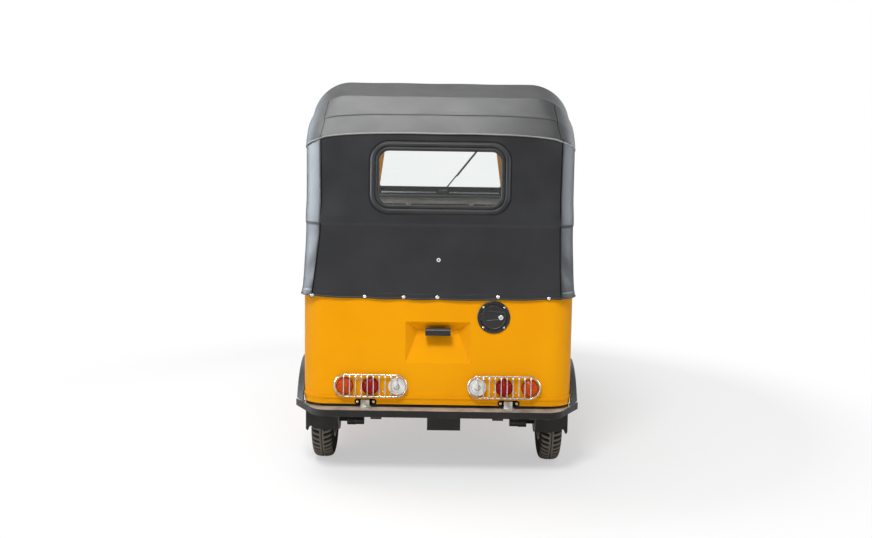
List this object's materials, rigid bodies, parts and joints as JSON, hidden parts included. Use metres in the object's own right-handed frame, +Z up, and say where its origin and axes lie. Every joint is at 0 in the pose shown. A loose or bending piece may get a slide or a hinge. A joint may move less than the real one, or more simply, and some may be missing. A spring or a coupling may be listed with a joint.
{
  "type": "auto rickshaw",
  "caption": "Passenger auto rickshaw with a soft hood over a hollow open-sided cabin, a steered front wheel, driven rear wheels and a hinged fuel lid.",
  "frame": {"origin": "on the ground below the middle of the vehicle's box", "axes": "+Y forward, +X to the vehicle's right, +Z up"},
  "size_m": [1.32, 2.64, 1.8],
  "materials": {
    "body_paint": "gloss",
    "black_paint": "satin",
    "hood_cloth": "satin",
    "seat_vinyl": "satin",
    "rubber": "matte",
    "tyre_rubber": "matte",
    "rim_paint": "satin",
    "glass": "gloss",
    "amber_lens": "gloss",
    "red_lens": "gloss",
    "clear_lens": "gloss",
    "bright_wire": "gloss",
    "bare_steel": "satin",
    "black_plastic": "matte",
    "castings": "matte"
  },
  "bodies": {
    "chassis": {"amber_lamps": "amber_lens", "bench_backrest": "seat_vinyl", "bench_box": "black_paint", "bench_cushion": "seat_vinyl", "bumper_brackets": "bare_steel", "canopy_back": "hood_cloth", "canopy_roof": "hood_cloth", "chassis_frame": "black_paint", "clear_lamps": "clear_lens", "dashboard": "black_plastic", "driver_backrest": "seat_vinyl", "driver_cushion": "seat_vinyl", "driver_seat_base": "black_paint", "engine_block": "castings", "exhaust": "bare_steel", "filler_cup": "black_plastic", "floor_pan": "body_paint", "front_cowl": "body_paint", "headlamp_lenses": "clear_lens", "headlamp_rims": "bright_wire", "hood_frame": "black_paint", "lamp_guards": "bright_wire", "leg_shield": "body_paint", "mirrors": "black_plastic", "mud_flaps": "rubber", "partition_rail": "bare_steel", "plate_lamp": "black_plastic", "rear_body": "body_paint", "rear_bumper": "black_paint", "rear_shocks": "bare_steel", "rear_window_glass": "glass", "rear_window_seal": "rubber", "red_lamps": "red_lens", "trailing_arms": "black_paint", "wheel_arch_flares": "black_plastic", "windscreen_frame": "body_paint", "windscreen_glass": "glass", "wiper": "black_paint"},
    "steering": {"front_fork": "bare_steel", "front_mudguard": "body_paint", "handlebar": "black_plastic"},
    "front_wheel": {"front_rim": "rim_paint", "front_tyre": "tyre_rubber"},
    "rear_left_wheel": {"rear_left_rim": "rim_paint", "rear_left_tyre": "tyre_rubber"},
    "rear_right_wheel": {"rear_right_rim": "rim_paint", "rear_right_tyre": "tyre_rubber"},
    "filler_lid": {"filler_lid": "black_plastic"}
  },
  "joints": [
    {"name": "steering_hinge", "type": "hinge", "parent": "chassis", "child": "steering", "pos_m": [0, 1.058, 0.209], "axis": [0, -0.4226, 0.9063], "range_deg": [-35, 35]},
    {"name": "front_wheel_spin", "type": "hinge", "parent": "steering", "child": "front_wheel", "pos_m": [0, 1.058, 0.209], "axis": [1, 0, 0], "continuous": true},
    {"name": "rear_left_wheel_spin", "type": "hinge", "parent": "chassis", "child": "rear_left_wheel", "pos_m": [-0.538, -0.942, 0.209], "axis": [1, 0, 0], "continuous": true},
    {"name": "rear_right_wheel_spin", "type": "hinge", "parent": "chassis", "child": "rear_right_wheel", "pos_m": [0.538, -0.942, 0.209], "axis": [1, 0, 0], "continuous": true},
    {"name": "filler_lid_hinge", "type": "hinge", "parent": "chassis", "child": "filler_lid", "pos_m": [0.19, -1.2671, 0.737], "axis": [0, 0, -1], "range_deg": [0, 105]}
  ]
}
